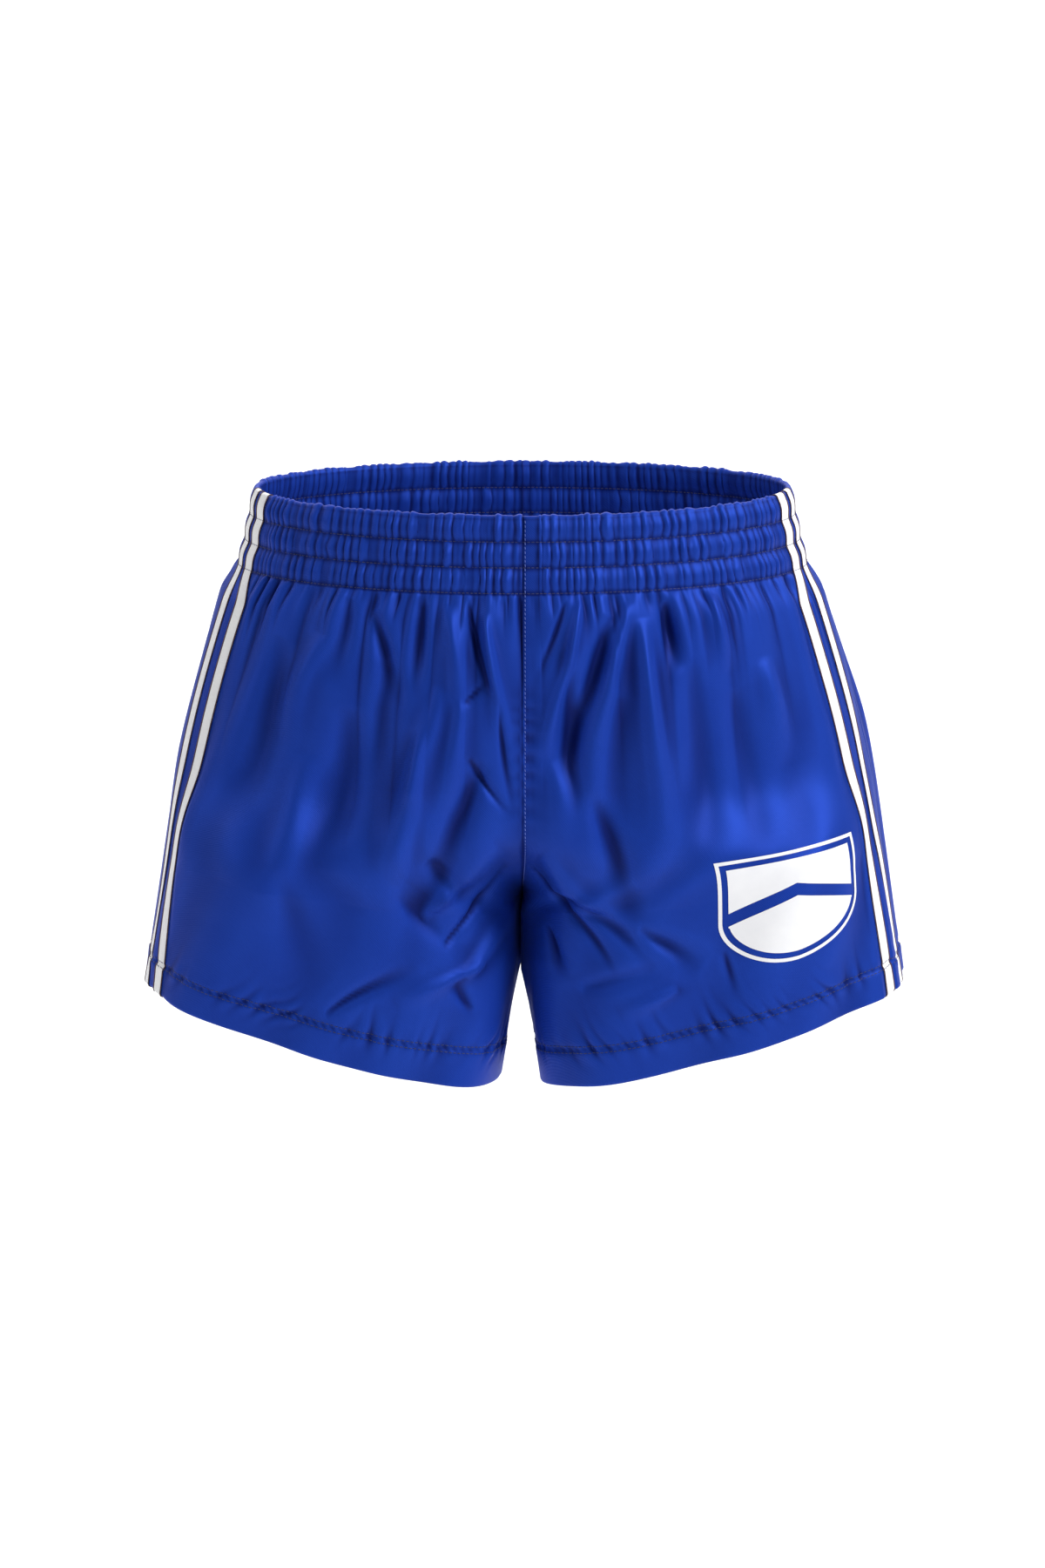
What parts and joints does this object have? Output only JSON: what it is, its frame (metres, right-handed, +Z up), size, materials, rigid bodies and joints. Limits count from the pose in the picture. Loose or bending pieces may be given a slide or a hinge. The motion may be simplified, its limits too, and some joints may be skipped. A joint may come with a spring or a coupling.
{
  "type": "boxing shorts",
  "caption": "Short royal blue satin shorts with a gathered elastic waist, paired white side stripes and stitched hems, held open as worn.",
  "frame": {"origin": "centre of the waist opening, half way up the waist elastic", "axes": "+X to the wearer's left, +Y to the back, +Z up out of the waist opening"},
  "size_m": [0.4692, 0.2556, 0.3647],
  "materials": {
    "satin_cloth": "satin",
    "white_tape": "matte",
    "elastic_web": "matte",
    "blue_thread": "matte",
    "maroon_thread": "matte",
    "bound_edge": "matte",
    "white_print": "satin"
  },
  "bodies": {
    "root": {"front_panel_left": "satin_cloth", "front_panel_right": "satin_cloth", "back_panel_left": "satin_cloth", "back_panel_right": "satin_cloth", "front_stripe_left": "white_tape", "front_stripe_right": "white_tape", "rear_stripe_left": "white_tape", "rear_stripe_right": "white_tape", "hem_stitch_upper_left": "blue_thread", "hem_stitch_upper_right": "blue_thread", "hem_stitch_lower_left": "blue_thread", "hem_stitch_lower_right": "blue_thread", "side_seam_allowance_left": "bound_edge", "side_seam_allowance_right": "bound_edge", "inseam_allowance_left": "bound_edge", "inseam_allowance_right": "bound_edge", "front_stripe_thread_front_left": "maroon_thread", "front_stripe_thread_front_right": "maroon_thread", "front_stripe_thread_rear_left": "maroon_thread", "front_stripe_thread_rear_right": "maroon_thread", "rear_stripe_thread_front_left": "maroon_thread", "rear_stripe_thread_front_right": "maroon_thread", "rear_stripe_thread_rear_left": "maroon_thread", "rear_stripe_thread_rear_right": "maroon_thread", "waist_elastic": "elastic_web", "waist_stitch_row_1": "blue_thread", "waist_stitch_row_2": "blue_thread", "waist_stitch_row_3": "blue_thread", "front_rise_topstitch": "blue_thread", "front_rise_allowance": "bound_edge", "back_rise_allowance": "bound_edge", "mark_outline": "white_print", "mark_upper_field": "white_print", "mark_lower_field": "white_print"}
  },
  "joints": []
}
